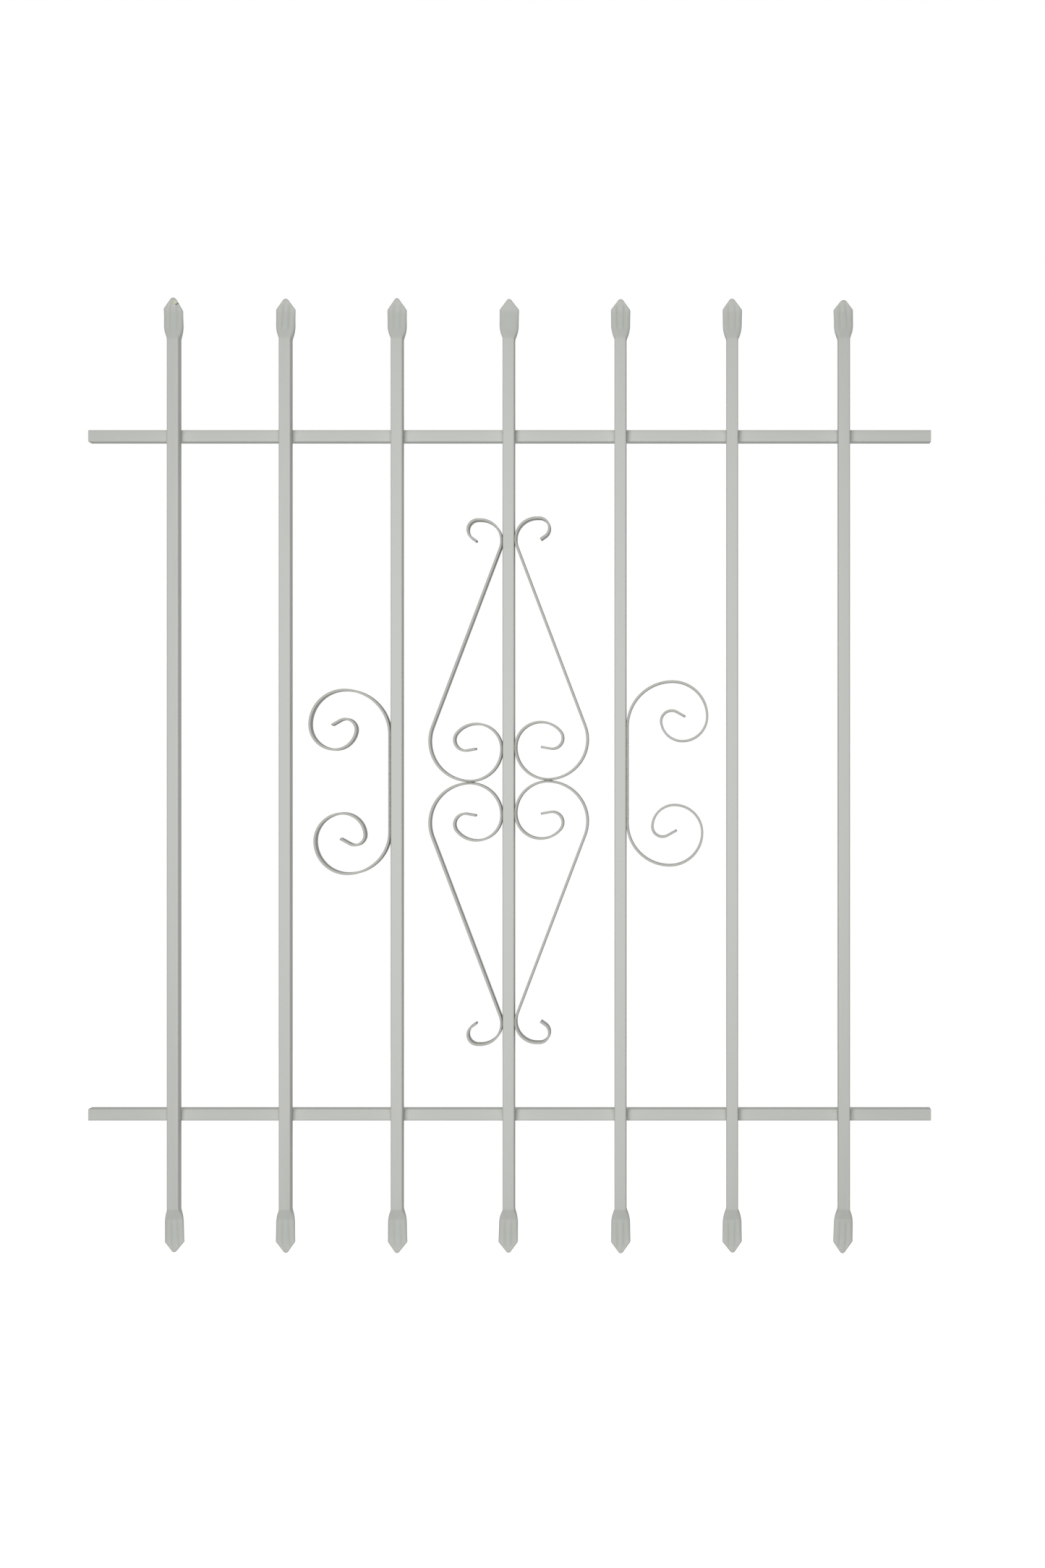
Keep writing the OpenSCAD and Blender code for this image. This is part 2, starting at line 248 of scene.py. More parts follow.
def paint(name, tint_and_painted_shade, roughness, peel, grain):
    """Satin enamel: faint streaks of colour and gloss along the piece, orange peel, and a darkening in the
    corners and along the contacts that is painted shade with some dust.

    grain is how much the streaks are drawn out along X, Y and Z, from 1 down to BRUSHED. A tint below 1
    darkens the whole paint; for the scrolls it is painted shade.
    """
    material = bpy.data.materials.new(name)
    material.use_nodes = True
    tree = material.node_tree
    link = tree.links.new
    shader = tree.nodes["Principled BSDF"]
    place = add_node(tree, "ShaderNodeTexCoord", (-1500, 0))
    along = add_node(tree, "ShaderNodeVectorMath", (-1300, 250), operation="MULTIPLY")
    along.inputs[1].default_value = grain
    link(place.outputs["Object"], along.inputs[0])

    clouds = add_node(tree, "ShaderNodeTexNoise", (-1050, 250), Scale=CLOUD_SCALE, Detail=3, Roughness=0.5)
    cloud_range = add_range(tree, (-850, 250), CLOUD_RANGE, (1 - COLOR_STREAK, 1 + COLOR_STREAK))
    coat = add_node(tree, "ShaderNodeVectorMath", (-650, 300), operation="SCALE")
    coat.inputs[0].default_value = tuple(g * t for g, t in zip(GREY, tint_and_painted_shade))
    link(along.outputs["Vector"], clouds.inputs["Vector"])
    link(clouds.outputs["Fac"], cloud_range.inputs["Value"])
    link(cloud_range.outputs["Result"], coat.inputs["Scale"])

    # The darkening read from the mesh is painted shade in corners, along contacts and in flutes, with some
    # dust; the specks break it up.
    dust_and_shade = add_node(tree, "ShaderNodeAttribute", (-1050, -50), attribute_name="dust_and_shade")
    specks = add_node(tree, "ShaderNodeTexNoise", (-1050, -250), Scale=SPECK_SCALE, Detail=2, Roughness=0.6)
    speck_range = add_range(tree, (-850, -250), SPECK_RANGE, (SPECK_LEAST, 1))
    shade_and_dust_amount = add_node(tree, "ShaderNodeMath", (-650, -100), operation="MULTIPLY")
    shade_and_dust_mix = add_node(tree, "ShaderNodeMix", (-400, 200), data_type="RGBA")
    shade_and_dust_mix.inputs["B"].default_value = (*DUST_AND_SHADE_COLOR, 1)
    link(place.outputs["Object"], specks.inputs["Vector"])
    link(specks.outputs["Fac"], speck_range.inputs["Value"])
    link(dust_and_shade.outputs["Fac"], shade_and_dust_amount.inputs[0])
    link(speck_range.outputs["Result"], shade_and_dust_amount.inputs[1])
    link(shade_and_dust_amount.outputs["Value"], shade_and_dust_mix.inputs["Factor"])
    link(coat.outputs["Vector"], shade_and_dust_mix.inputs["A"])

    # The nick's colours: old paint with a painted highlight, and painted shadow with some rust.
    nick_and_painted_light = add_node(tree, "ShaderNodeAttribute", (-400, -50), attribute_name="nick_and_painted_light")
    nick_and_painted_light_color = add_node(tree, "ShaderNodeAttribute", (-400, -250), attribute_name="nick_and_painted_light_color")
    nick_and_light_mix = add_node(tree, "ShaderNodeMix", (-150, 200), data_type="RGBA")
    link(nick_and_painted_light.outputs["Fac"], nick_and_light_mix.inputs["Factor"])
    link(shade_and_dust_mix.outputs["Result"], nick_and_light_mix.inputs["A"])
    link(nick_and_painted_light_color.outputs["Color"], nick_and_light_mix.inputs["B"])
    link(nick_and_light_mix.outputs["Result"], shader.inputs["Base Color"])

    streaks = (roughness - GLOSS_STREAK, roughness + GLOSS_STREAK)
    gloss = add_range(tree, (-650, -350), CLOUD_RANGE, streaks)
    link(clouds.outputs["Fac"], gloss.inputs["Value"])
    duller = add_node(tree, "ShaderNodeMath", (-400, -350), operation="MULTIPLY_ADD")
    duller.inputs[1].default_value = DUST_DULLS
    link(shade_and_dust_amount.outputs["Value"], duller.inputs[0])
    link(gloss.outputs["Result"], duller.inputs[2])
    link(duller.outputs["Value"], shader.inputs["Roughness"])

    orange = add_node(tree, "ShaderNodeTexNoise", (-1050, -600), Scale=PEEL_SCALE, Detail=2, Roughness=0.5)
    bump = add_node(tree, "ShaderNodeBump", (-400, -500), Strength=1, Distance=peel)
    link(place.outputs["Object"], orange.inputs["Vector"])
    link(orange.outputs["Fac"], bump.inputs["Height"])
    link(bump.outputs["Normal"], shader.inputs["Normal"])
    shader.inputs["Specular IOR Level"].default_value = SPECULAR
    return material


# Each paint's tint, roughness, depth of orange peel and grain. The scrolls' lower tint is painted shade on
# the same grey paint.
LOOKS = {
    "bar_paint": ((1, 1, 1), 0.4, 0.04 * MM, (1, 1, BRUSHED)),
    "rail_paint": ((1.01, 1.01, 1.01), 0.41, 0.04 * MM, (BRUSHED, 1, 1)),
    # The scrolls' paint is the same grey, darkened as painted shade.
    "scroll_paint": ((0.83, 0.825, 0.81), 0.42, 0.03 * MM, (0.3, 0.3, 0.3)),
    "weld_paint": ((0.955, 0.955, 0.95), 0.38, 0.05 * MM, (1, 1, 1)),
}
PAINTS = {slot: paint(slot, *look) for slot, look in LOOKS.items()}


def place_piece(obj, node, slot):
    """Paints a piece and puts it in the place of its node."""
    obj.data.materials.append(PAINTS[slot])
    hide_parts(node)
    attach(obj, "root")


# ---- bars: a pressed end, where v is the height above the end of the tube
# The tube's corners grow to FOLD_R over FOLD_LEN, rolled wider than deep by EDGE_ROLL, and from SHEAR_V
# the edge is sheared, with only SHEAR_R left. No edge takes more than MAX_ROUND of half the depth.
NECK_R = 8 * MM
FOLD_LEN = 7 * MM
FOLD_R = 2.5 * MM
SHEAR_V = SHOULDER_V - 3 * MM
SHEAR_FADE = 4 * MM
SHEAR_R = 0.9 * MM
EDGE_ROLL = 0.7
MAX_ROUND = 0.94
STEP_LEN = 13 * MM

# Two shallow flutes run along each face, FLUTE_X to each side of its middle, and sway a little.
FLUTE_X = 3.5 * MM
FLUTE_W = 1.1 * MM
FLUTE_DEPTH = 0.4 * MM
FLUTE_SWAY = 0.25 * MM
FLUTE_SWAY_LEN = 9 * MM
FLUTE_V = 7 * MM
FLUTE_FADE = 10 * MM
FLUTE_EDGE_FADE = 3.5 * MM
# The flutes' valleys are darkened a little: painted shade, with some dust.
FLUTE_SHADE = 0.12
FLUTE_SHADE_FADE = 7 * MM

# The sections of an end stand close together up to DENSE_V and over the last TIP_RADII of its point,
# and stop just short of it. Across a section, an edge's zone is up to EDGE_ZONE of its roll wide.
DENSE_V = 18 * MM
NECK_SECTIONS = 36
FLAT_SECTIONS = 12
SLANT_SECTIONS = 22
TIP_SECTIONS = 14
TIP_RADII = 1.5
TIP_STOP = 0.998
ARC_POINTS = 25
MIDDLE_SPANS = 30
EDGE_SPANS = 6
WALL_SPANS = 3
EDGE_ZONE = 1.6
MAX_ZONE = 0.3


def end_cut(name, end):
    """One end's own cut on top of what its press does to every end."""
    return PRESSED[end] | CUTS[name, end]


def cut_size(cut, key, pattern=0.0):
    """One size of a cut in metres, or the pattern's."""
    return cut[key] * MM if key in cut else pattern


def side_outline(cut, way):
    """One side of a spear point from the tube to the point: (distance out, height) along the edge.

    way is 1 for the right side and -1 for the left one. The tube's side curves outwards at the neck,
    rounds over into the flare, runs straight to the shoulder's corner and then slants to the point.
    """
    word = "right" if way == 1 else "left"
    shift = way * cut_size(cut, "shift")
    flare_w, flare_top = FLARE_HALF_W + shift / 2, cut_size(cut, "flare") + FLARE_H
    flare_in = flare_w - HALF_W
    flare_r = (flare_in**2 + FLARE_H**2) / (2 * flare_in)
    flare_x, neck_x = flare_w - flare_r, HALF_W + NECK_R
    neck_v = flare_top - math.sqrt((flare_r + NECK_R) ** 2 - (neck_x - flare_x) ** 2)
    neck_a = math.atan2(flare_top - neck_v, neck_x - flare_x)
    tip_r = cut_size(cut, "point_r", TIP_R)
    tip_middle = np.array([way * cut_size(cut, "tip"), HEAD_LEN - cut_size(cut, "low") - tip_r])
    shoulder = np.array([HEAD_HALF_W + shift, SHOULDER_V + cut_size(cut, word)])
    to_tip = tip_middle - shoulder
    slant = math.atan2(to_tip[1], to_tip[0]) - math.asin(tip_r / np.hypot(*to_tip))
    turn = slant - math.pi / 2
    corner_r = cut_size(cut, f"{word}_r", SHOULDER_R)
    corner = shoulder - np.array([corner_r, corner_r * math.tan(turn / 2)])
    arcs = [
        (neck_x, neck_v, NECK_R, math.pi, math.pi - neck_a),
        (flare_x, flare_top, flare_r, -neck_a, 0),
        (*corner, corner_r, 0, turn),
        (*tip_middle, tip_r, turn, math.pi / 2),
    ]
    points = [
        (x + r * math.cos(a), v + r * math.sin(a))
        for x, v, r, low, high in arcs
        for a in np.linspace(low, high, ARC_POINTS)
    ]
    return np.array(points)


def distance_in(points, line):
    """Shortest distance from each point to a polyline."""
    a, b = line[:-1], line[1:]
    along = b - a
    size = np.maximum((along**2).sum(1), 1e-18)
    part = np.clip(((points[:, None] - a) * along).sum(2) / size, 0, 1)
    gaps = points[:, None] - a - part[..., None] * along
    return np.sqrt((gaps**2).sum(2)).min(1)


def head_rings(cut, phase):
    """Sections of one pressed end, from the tube to the point, as (x, y, v)."""
    right, left = side_outline(cut, 1), side_outline(cut, -1)
    below = -30 * MM
    edge = np.concatenate([[[HALF_W, below]], right, left[::-1] * (-1, 1), [[-HALF_W, below]]])
    neck_v = min(right[0, 1], left[0, 1])
    tip_len = TIP_RADII * cut_size(cut, "point_r", TIP_R)
    tip_start = HEAD_LEN - cut_size(cut, "low") - tip_len
    heights = np.concatenate([
        np.linspace(neck_v, DENSE_V, NECK_SECTIONS, endpoint=False),
        np.linspace(DENSE_V, SHEAR_V, FLAT_SECTIONS, endpoint=False),
        np.linspace(SHEAR_V, tip_start, SLANT_SECTIONS, endpoint=False),
        tip_start + TIP_STOP * tip_len * np.sin(np.linspace(0, math.pi / 2, TIP_SECTIONS)),
    ])
    step, flute_depth = cut_size(cut, "step"), cut_size(cut, "flutes", FLUTE_DEPTH)
    rings = []
    for v in heights:
        out = np.interp(v, right[:, 1], right[:, 0])
        into = -np.interp(v, left[:, 1], left[:, 0])
        rings.append(head_section(v, neck_v, into, out, edge, phase, step, flute_depth))
    return rings


def ramp(value, ease=0.15):
    """A straight ramp from 0 to 1 with its two corners rounded off."""
    value = min(max(value, 0), 1)
    if value < ease:
        rise = value**2 / (2 * ease)
    elif value > 1 - ease:
        rise = 1 - ease - (1 - value) ** 2 / (2 * ease)
    else:
        rise = value - ease / 2
    return rise / (1 - ease)


def head_thickness(v, neck_v, step):
    """The tube's depth: a short step at the neck on top of an even wedge up to the shoulders."""
    wedge = (TUBE_W - step - HEAD_T) * ramp((v - neck_v) / (SHOULDER_V - neck_v))
    return TUBE_W - step * ramp((v - neck_v) / STEP_LEN) - wedge


def flute_start(v):
    """0 at the neck and 1 from where the flutes have their full depth."""
    return smooth_step((v - FLUTE_V) / FLUTE_FADE)


def flute_mask(off, v, phase):
    """How deep in a flute a point is, from its distance off the head's middle line."""
    valley = FLUTE_X + FLUTE_SWAY * np.sin(phase + v / FLUTE_SWAY_LEN)
    return sum(np.exp(-(((off - side * valley) / FLUTE_W) ** 2)) for side in (-1, 1))


def head_section(v, neck_v, left, right, edge, phase, step, flute_depth):
    """One closed section: folded round edges below the shoulders, sheared crisp ones above them."""
    half_t = head_thickness(v, neck_v, step) / 2
    folded = smooth_step((v - neck_v) / FOLD_LEN)
    sheared = smooth_step((v - SHEAR_V) / SHEAR_FADE)
    edge_r = TUBE_R + (FOLD_R - TUBE_R) * folded + (SHEAR_R - FOLD_R) * sheared
    edge_r = min(edge_r, half_t * MAX_ROUND)
    roll = edge_r * (1 + EDGE_ROLL * folded)
    zone = min(EDGE_ZONE * roll, (right - left) * MAX_ZONE)
    curve = np.sin(np.linspace(0, math.pi / 2, EDGE_SPANS + 1))
    low, high = left + zone, right - zone
    xs = np.concatenate([
        (low - zone * curve)[::-1],
        np.linspace(low, high, MIDDLE_SPANS + 1)[1:-1],
        high + zone * curve,
    ])
    inwards = distance_in(np.column_stack([xs, np.full(len(xs), v)]), edge)
    inwards[[0, -1]] = 0
    rounding = 1 - np.clip(inwards / roll, 0, 1)
    wall = half_t - edge_r
    rise = wall + edge_r * np.sqrt(np.maximum(1 - rounding**2, 0))
    fade = flute_start(v) * smooth_step(inwards / FLUTE_EDGE_FADE)
    rise = rise - flute_depth * fade * flute_mask(xs - (left + right) / 2, v, phase)
    sides = np.linspace(-wall, wall, WALL_SPANS + 1)[1:-1]
    ring = [(x, -y) for x, y in zip(xs, rise)]
    ring += [(right, y) for y in sides]
    ring += [(x, y) for x, y in zip(xs[::-1], rise[::-1])]
    ring += [(left, y) for y in sides[::-1]]
    return [(x, y, v) for x, y in ring]


# A nick in the paint near bar 1's upper point: each patch's place right of the bar's middle line and above
# the end of its tube, its half width and half height, all in mm, and its colour. The first patch is old
# paint that shows, made paler as a painted highlight on the raised paint. The dark ones lie over it, below
# and to the right, as painted shadow with some rust.
NICK_AND_ITS_LIGHT = [
    ((1.3, HEAD_LEN / MM - 5.0), (2.3, 3.2), (0.64, 0.66, 0.50)),
    ((2.8, HEAD_LEN / MM - 7.5), (1.6, 0.8), (0.07, 0.08, 0.055)),
    ((4.5, HEAD_LEN / MM - 6.5), (0.8, 0.9), (0.12, 0.13, 0.09)),
]
NICK_RISE = 0.5 * MM
NICK_GRAIN = 0.9 * MM
NICK_RAGGED = 0.35
NICK_CORE = 0.6
NICK_FADE = 0.55
DARK_SHOWS = 0.25


def nick_parts(x, v):
    """How much each patch of the nick covers a point, with ragged edges."""
    parts = []
    for (at_x, at_v), (half_w, half_h), _ in NICK_AND_ITS_LIGHT:
        ragged = 1 + NICK_RAGGED * noise.noise((x / NICK_GRAIN, v / NICK_GRAIN, at_x))
        away = math.hypot((x / MM - at_x) / half_w, (v / MM - at_v) / half_h) * ragged
        parts.append(float(1 - smooth_step((away - NICK_CORE) / NICK_FADE)))
    return parts


def raise_nick(points):
    """The old paint stands up a little around the nick, on the front only."""
    return [
        (x, y - NICK_RISE * nick_parts(x, v)[0] if y < 0 else y, v)
        for x, y, v in points
    ]


def color_nick_and_its_light(obj, number):
    """The nick's cover and colour at each vertex of the front, painted highlight and painted shadow
    included; dark patches show over the first one.
    """
    cover, colors = [], []
    for x, y, z in points_of(obj):
        at_front = y < BAR_MID_Y
        parts = nick_parts(x - BAR_X[number], z - HEAD_BASE) if at_front else [0] * len(NICK_AND_ITS_LIGHT)
        shown = int(np.argmax(parts))
        dark = 1 + int(np.argmax(parts[1:]))
        if parts[dark] > DARK_SHOWS:
            shown = dark
        cover.append(max(parts))
        colors.append(NICK_AND_ITS_LIGHT[shown][2])
    keep_value(obj, "nick_and_painted_light", cover)
    keep_color(obj, "nick_and_painted_light_color", colors)


def head_phase(number, end):
    """Where the sway of the flutes starts, another place in each end."""
    return number if end == 1 else number + 3


def flute_shade(points, ring_count, number):
    """Painted shade, with some dust, in the flutes of both ends."""
    x, _, z = points.reshape(ring_count, -1, 3).transpose(2, 0, 1)
    off = x - ((x.min(1) + x.max(1)) / 2)[:, None]
    v = np.abs(z) - HEAD_BASE
    along = flute_start(v) * (1 - smooth_step((v - SHOULDER_V) / FLUTE_SHADE_FADE))
    dust_and_shade = np.zeros(z.shape)
    for end in (1, -1):
        depth = cut_size(end_cut(BARS[number], end), "flutes", FLUTE_DEPTH) / FLUTE_DEPTH
        mask = flute_mask(off, v, head_phase(number, end))
        dust_and_shade += np.where(end * z > 0, FLUTE_SHADE * depth * along * mask, 0)
    return dust_and_shade.ravel()


# ---- bars: the whole tube
BODY_SECTIONS = 41
BESIDE_RAIL = (-14, -10, -7, -4, -2, 0, 2, 4, 7, 10, 14)
# The back half of each bar is darkened next to the rails: painted shade, with some dust.
BAR_SHADE_FROM = 0.4
BAR_SHADE_REACH = 14 * MM


def stations(low, high, count, crossing, offsets):
    """Places along a tube: even ones, and closer ones at offsets in mm from each crossing tube's edges."""
    even = np.linspace(low, high, count)
    beside = [at + side * HALF_W + off * MM for at in crossing for side in (-1, 1) for off in offsets]
    return np.unique(np.round(np.concatenate([even, beside]), 5))


def bar(number):
    name = BARS[number]
    top = head_rings(end_cut(name, 1), head_phase(number, 1))
    if number == 0:
        top = [raise_nick(ring) for ring in top]
    bottom = head_rings(end_cut(name, -1), head_phase(number, -1))
    rings = [[(x, y, -HEAD_BASE - v) for x, y, v in ring] for ring in bottom[::-1]]
    for z in stations(-HEAD_BASE, HEAD_BASE, BODY_SECTIONS, RAIL_Z.values(), BESIDE_RAIL)[1:-1]:
        rings.append([(x, y, z) for x, y, _ in top[0]])
    rings += [[(x, y, HEAD_BASE + v) for x, y, v in ring] for ring in top]
    rings = [[(x + BAR_X[number], y + BAR_MID_Y, z) for x, y, z in ring] for ring in rings]
    made = add_mesh(f"{name}_upright", *loft(rings))
    place_piece(made, name, "bar_paint")
    if number == 0:
        color_nick_and_its_light(made, number)
    points = points_of(made)
    _, y, z = points.T
    # Painted shade, with some dust, on the back of the bar beside each rail and in the flutes.
    behind = smooth_step(((y - BAR_FRONT) / TUBE_W - BAR_SHADE_FROM) / (1 - BAR_SHADE_FROM))
    to_rail = np.minimum(*[np.abs(z - rail_z) - HALF_W for rail_z in RAIL_Z.values()])
    darkening = SHADE_AND_DUST * behind * near(np.maximum(to_rail, 0), BAR_SHADE_REACH)
    keep_value(made, "dust_and_shade", np.maximum(darkening, flute_shade(points, len(rings), number)))


# ---- rails
SIDE_SPANS = 12
CORNER_SPANS = 6
END_BEVEL = 0.25 * MM
BORE = HALF_W - TUBE_WALL
BORE_R = 0.4 * MM
BORE_END_R = 0.5 * MM
SEAM_H = 0.35 * MM
SEAM_W = 0.7 * MM
RAIL_SECTIONS = 61
BESIDE_BAR = (-6, -3, 0, 3, 6, 10)
# Beside each bar a rail is darkened towards its front: painted shade, with some dust. LEDGE_DUST is dust on
# the rail's top.
CORNER_SHADE_REACH = 8 * MM
LEDGE_DUST = 0.25
SIDE_SHADE = 0.2
BORE_DARKENING = 0.8
BORE_MARGIN = 0.3 * MM


def square_loop(half, corner_r, seam_h=0.0):
    """A rounded square as (y, z), with the tube's weld bead inside its back if seam_h is set."""
    loop = []
    flat = half - corner_r
    for quarter in range(4):
        turn = quarter * math.pi / 2
        points = [(half, part * flat) for part in np.linspace(-1, 1, SIDE_SPANS, endpoint=False)]
        points += [
            (flat + corner_r * math.cos(a), flat + corner_r * math.sin(a))
            for a in np.linspace(0, math.pi / 2, CORNER_SPANS, endpoint=False)
        ]
        for y, z in points:
            if quarter == 0 and seam_h:
                y -= seam_h * math.exp(-((z / SEAM_W) ** 2))
            loop.append((
                y * math.cos(turn) - z * math.sin(turn),
                y * math.sin(turn) + z * math.cos(turn),
            ))
    return loop


def rail(name):
    lo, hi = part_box(name)
    middle_y, middle_z = (lo.y + hi.y) / 2, (lo.z + hi.z) / 2
    outer = square_loop(HALF_W, TUBE_R)
    outer_end = square_loop(HALF_W - END_BEVEL, TUBE_R - END_BEVEL)
    inner = square_loop(BORE, BORE_R, SEAM_H)
    inner_end = square_loop(BORE + END_BEVEL / 2, BORE_END_R, SEAM_H)
    length = stations(lo.x + END_BEVEL, hi.x - END_BEVEL, RAIL_SECTIONS, BAR_X, BESIDE_BAR)
    sections = [(x, outer) for x in length]
    sections += [(hi.x, outer_end), (hi.x, inner_end)]
    sections += [(x, inner) for x in length[::-1]]
    sections += [(lo.x, inner_end), (lo.x, outer_end)]
    rings = [[(x, middle_y + y, middle_z + z) for y, z in loop] for x, loop in sections]
    made = add_mesh(f"{name}_tube", *loft(rings, ring_shaped=True))
    place_piece(made, name, "rail_paint")
    x, y, z = points_of(made).T
    to_bar = np.maximum(np.abs(x[:, None] - BAR_X).min(1) - HALF_W, 0)
    on_top = smooth_step((z - middle_z) / HALF_W)
    # Dust along the top; beside each bar, painted shade with some dust, full on the top and weaker on the
    # front face.
    shade_in_corner = near(to_bar, CORNER_SHADE_REACH) * near(y - lo.y, TUBE_W)
    darkening = SHADE_AND_DUST * (LEDGE_DUST * on_top + shade_in_corner * (SIDE_SHADE + (1 - SIDE_SHADE) * on_top))
    # The inside of the bore is darkened strongly.
    in_bore = np.maximum(np.abs(y - middle_y), np.abs(z - middle_z)) < BORE + BORE_MARGIN
    keep_value(made, "dust_and_shade", np.where(in_bore, BORE_DARKENING, darkening))


# ---- scrolls: a state is (along, up, heading in degrees), a step is (radius, signed angle) or (0, length)
STRAIGHT_STEP = 4 * MM
TURN_STEP = 2.5
STRIP_EDGE_R = 0.35 * MM
STRIP_EDGE_POINTS = 5
STRIP_END_INSET = 0.25 * MM
STRIP_END_BEVEL = 0.3 * MM
# A strip is darkened near its bar towards the back as painted shade with some dust, and along each line it
# touches as a painted contact shadow.
SCROLL_SHADE_REACH = 7 * MM
TOUCH_REACH = 1.6 * MM


def trace(state, steps):
    """States along a path of straights and turns, close together."""
    states = [state]
    for radius, amount in steps:
        u, v, heading = states[-1]
        start = math.radians(heading)
        if radius == 0:
            count = max(2, math.ceil(amount / STRAIGHT_STEP))
            for part in np.linspace(0, amount, count + 1)[1:]:
                states.append((u + part * math.cos(start), v + part * math.sin(start), heading))
            continue
        way = math.copysign(1, amount)
        for part in np.linspace(0, amount, math.ceil(abs(amount) / TURN_STEP) + 1)[1:]:
            end = start + math.radians(part)
            states.append((
                u + way * radius * (math.sin(end) - math.sin(start)),
                v - way * radius * (math.cos(end) - math.cos(start)),
                heading + part,
            ))
    return states


def moved(state, length):
    """A state moved along its own heading."""
    u, v, heading = state
    a = math.radians(heading)
    return (u + length * math.cos(a), v + length * math.sin(a), heading)


def turns(pairs, way):
    """Steps for arcs given by their outer radii and angles."""
    return [(radius - STRIP_T / 2, way * angle) for radius, angle in pairs]


def join(inward, outward):
    """One path from the far end of one half to the far end of the other."""
    return [(u, v, heading + 180) for u, v, heading in inward[::-1]] + outward[1:]


def s_path():
    """The S-scroll's middle line: its volute, big arc, the straight that touches both arcs, and hook."""
    start = (S_TURNS[0][0], STRIP_T / 2)
    big, hook = np.array([S_TURNS[0][0], S_OUTER_R]), np.array([S_HOOK_R, S_HOOK_V])
    radii = S_OUTER_R + S_HOOK_R - STRIP_T
    apart = float(np.hypot(*(hook - big)))
    lean = math.degrees(math.atan2(big[0] - hook[0], hook[1] - big[1]) + math.asin(radii / apart))
    inward = trace((*start, 180), turns(S_TURNS, -1) + [(0, S_TAIL)])
    outward = trace((*start, 0), [
        (S_OUTER_R - STRIP_T / 2, 90 + lean),
        (0, math.sqrt(apart**2 - radii**2)),
        (S_HOOK_R - STRIP_T / 2, -90 - lean),
        (0, S_HOOK_FLAT),
        (S_HOOK_FAR_R - STRIP_T / 2, -S_HOOK_FAR_A),
        (0, S_HOOK_TAIL),
    ])
    return join(inward, outward)


def c_path():
    """The C-scroll's middle line: its lower volute, the straight along the bar and its upper volute."""
    up = trace((STRIP_T / 2, 0, 90), [(0, C_STRAIGHT)] + turns(C_UPPER, -1) + [(0, C_UPPER_TAIL)])
    down = trace((STRIP_T / 2, 0, -90), turns(C_LOWER, 1) + [(0, C_LOWER_TAIL)])
    return join(down, up)


def strip_section(inset):
    """The strip's section as (across its thickness, along its depth), edges eased."""
    half_t, half_d, r = STRIP_T / 2 - inset, STRIP_D / 2 - inset, STRIP_EDGE_R - inset / 2
    loop = []
    corners = ((1, 1), (-1, 1), (-1, -1), (1, -1))
    for quarter, (side, end) in enumerate(corners):
        start = quarter * math.pi / 2
        for a in np.linspace(start, start + math.pi / 2, STRIP_EDGE_POINTS):
            loop.append((side * (half_t - r) + r * math.cos(a), end * (half_d - r) + r * math.sin(a)))
    return loop


def scroll(node, states, side, bar_number, z, up=1):
    """A strip on edge along its path, out from one side of a bar; up = -1 turns it upside down."""
    body, end = strip_section(0), strip_section(STRIP_END_INSET)
    mid_y = BAR_FRONT + STRIP_D / 2
    first, last = states[0], states[-1]
    path = [(first, end), (moved(first, STRIP_END_BEVEL), body)]
    path += [(state, body) for state in states[1:-1]]
    path += [(moved(last, -STRIP_END_BEVEL), body), (last, end)]
    rings = []
    for (u, v, heading), section in path:
        a = math.radians(heading)
        rings.append([
            (
                BAR_X[bar_number] + side * (HALF_W + u - across * math.sin(a)),
                mid_y + deep,
                z + up * (v + across * math.cos(a)),
            )
            for across, deep in section
        ])
    made = add_mesh(f"{node}_strip", *loft(rings))
    place_piece(made, node, "scroll_paint")
    x, y, heights = points_of(made).T
    # Painted shade with some dust near the bar towards the back, and a painted contact shadow where the
    # strip touches a bar or its pair.
    out = np.maximum(side * (x - BAR_X[bar_number]) - HALF_W, 0)
    behind = smooth_step((y - BAR_FRONT) / STRIP_D)
    contact_shade = near(out, TOUCH_REACH)
    if bar_number == MIDDLE:
        contact_shade = np.maximum(contact_shade, near(heights - z, TOUCH_REACH))
    keep_value(made, "dust_and_shade", np.maximum(SHADE_AND_DUST * near(out, SCROLL_SHADE_REACH) * behind, contact_shade))


# ---- welds
RIPPLE_PITCH = (1.2, 1.5)
RIPPLE_LAG = 0.9 * MM
RIPPLE_FLATNESS = 0.6
WOBBLE = 0.8
WOBBLE_LEN = 4 * MM
WANDER = 0.05
WANDER_LEN = 3 * MM
BEAD_SECTIONS = 54
BEAD_END = 1.9 * MM
BEAD_END_SIZE = 0.12
WELD_DUST = 0.5

# A bead's keel fills what lies open under it: the rail's round corner, or the line along a strip.
FILLET_POINTS = 13
FILLET_RIPPLE = 0.1
FILLET_HOLLOW = 0.06
FILLET_LEGS = (0.86, 0.98)
FILLET_SHIFT = 0.5 * MM
KEEL_POINTS = 6
KEEL_TURN = math.radians(165)
KEEL_REACH = 0.8

TACK_POINTS = 17
TACK_RIPPLE = 0.08
TACK_CROWN = 0.8
TACK_KEEL = 0.9 * MM


def ripple(s, pitch, seed):
    """Overlapping round pools along a bead, 0 to 1."""
    wobble = WOBBLE * noise.noise((s / WOBBLE_LEN, seed, 0.3))
    return abs(math.sin(math.pi * s / pitch + wobble)) ** RIPPLE_FLATNESS


def bead(section, length, seed):
    """Rings of a bead along s: section(size, s) gives a ring's points, smaller at the round ends."""
    rings = []
    for s in -np.cos(np.linspace(0, math.pi, BEAD_SECTIONS)) * length / 2:
        edge = min(max((length / 2 - abs(s)) / BEAD_END, 0), 1)
        size = max(math.sqrt(1 - (1 - edge) ** 2), BEAD_END_SIZE)
        wander = WANDER * noise.noise((s / WANDER_LEN, seed, 1.7))
        rings.append((s, section(size * (1 + wander), s)))
    return rings


